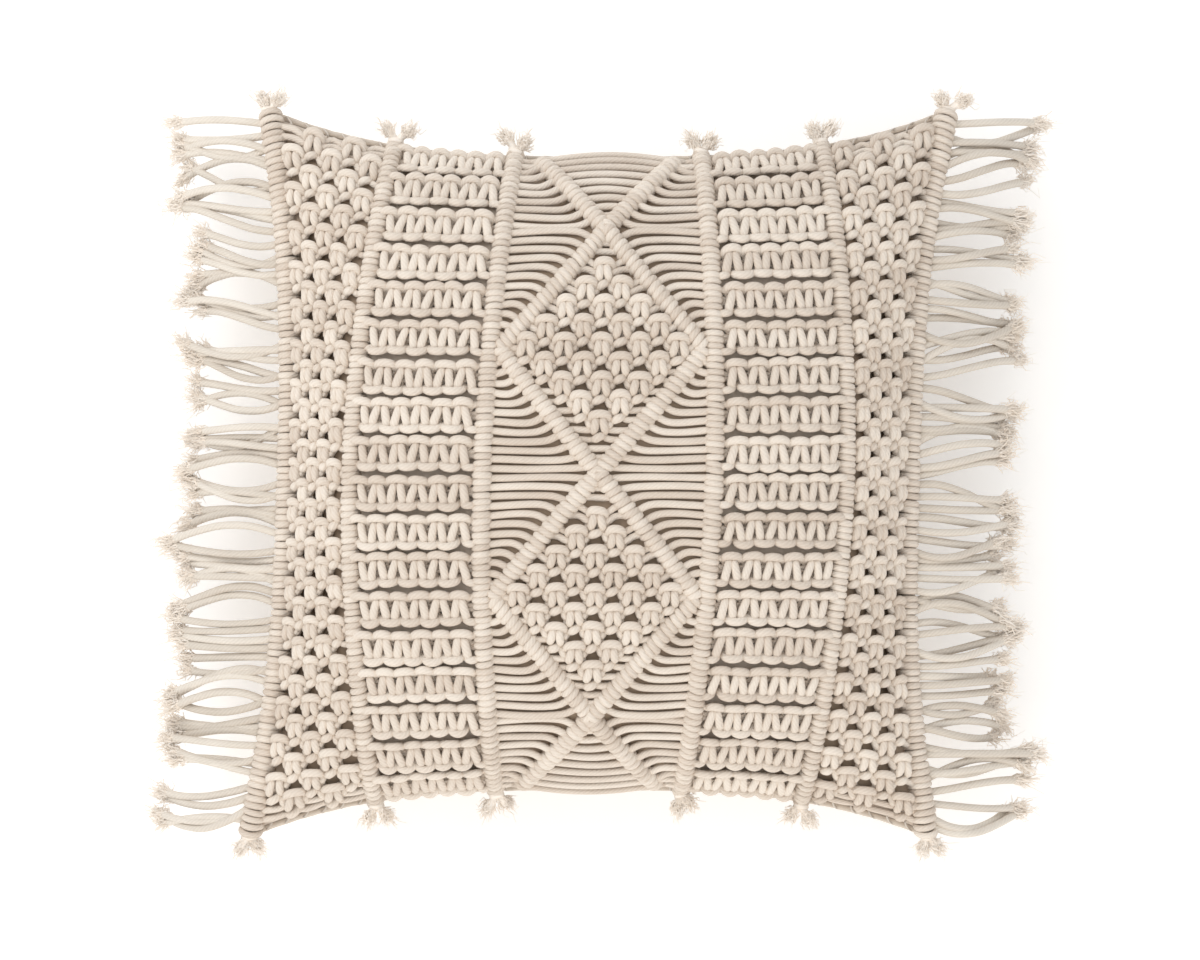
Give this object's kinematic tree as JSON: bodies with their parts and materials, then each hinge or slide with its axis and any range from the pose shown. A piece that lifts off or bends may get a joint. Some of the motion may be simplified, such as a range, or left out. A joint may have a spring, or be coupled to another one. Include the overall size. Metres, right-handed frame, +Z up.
{
  "type": "throw pillow",
  "caption": "Square throw pillow: a stuffed insert in a zipped cotton cover whose front is a knotted macrame panel with diamonds, row bands and side fringe.",
  "frame": {"origin": "on the floor, under the middle of the pillow's bounding box", "axes": "+Z up out of the knotted front, +X along the working cords from fringe to fringe, +Y along the ridges away from the zipped edge"},
  "size_m": [0.5352, 0.454, 0.1315],
  "materials": {
    "macrame_cord": "twisted natural cotton cord, matt with fine fibres",
    "frayed_cord": "cotton cord with frayed ends, matt",
    "cover_canvas": "plain woven cotton canvas, matt",
    "insert_casing": "thin plain weave, matt",
    "fibre_fill": "loose fibre fill, matt",
    "zip_tape": "ribbed woven tape, matt",
    "zip_coil": "nylon coil, satin",
    "zip_metal": "nickel, satin"
  },
  "bodies": {
    "cushion": {"insert_fill": "fibre_fill", "insert_casing_front": "insert_casing", "insert_casing_back": "insert_casing", "cover_lining_front": "cover_canvas", "cover_back_main": "cover_canvas", "cover_back_strip": "cover_canvas", "cover_edge_seam": "cover_canvas", "ridge_edge_left": "macrame_cord", "ridge_outer_left": "macrame_cord", "ridge_inner_left": "macrame_cord", "ridge_inner_right": "macrame_cord", "ridge_outer_right": "macrame_cord", "ridge_edge_right": "macrame_cord", "ridge_diagonals": "macrame_cord", "knot_net_left": "macrame_cord", "knot_net_right": "macrame_cord", "knot_rows_left": "macrame_cord", "knot_rows_right": "macrame_cord", "diamond_knots_upper": "macrame_cord", "diamond_knots_lower": "macrame_cord", "plain_cords_left": "macrame_cord", "plain_cords_right": "macrame_cord", "plain_cords_top": "macrame_cord", "plain_cords_bottom": "macrame_cord", "ridge_tails_top": "frayed_cord", "ridge_tails_bottom": "frayed_cord", "fringe_left": "frayed_cord", "fringe_right": "frayed_cord", "zip_tape_upper": "zip_tape", "zip_tape_lower": "zip_tape", "zip_coil_upper": "zip_coil", "zip_coil_lower": "zip_coil", "zip_top_stops": "zip_metal", "zip_bottom_stop": "zip_metal"},
    "zip_slider": {"zip_slider": "zip_metal"},
    "zip_pull": {"zip_pull": "zip_metal"}
  },
  "joints": [
    {"name": "zip_travel", "type": "slide", "parent": "cushion", "child": "zip_slider", "axis": [-1, 0, 0], "range_m": [0, 0.2165]},
    {"name": "pull_swing", "type": "hinge", "parent": "zip_slider", "child": "zip_pull", "pos_m": [0.1091, -0.17982, 0.03256], "axis": [0, -0.6691, 0.7431], "range_deg": [-80, 80]}
  ]
}
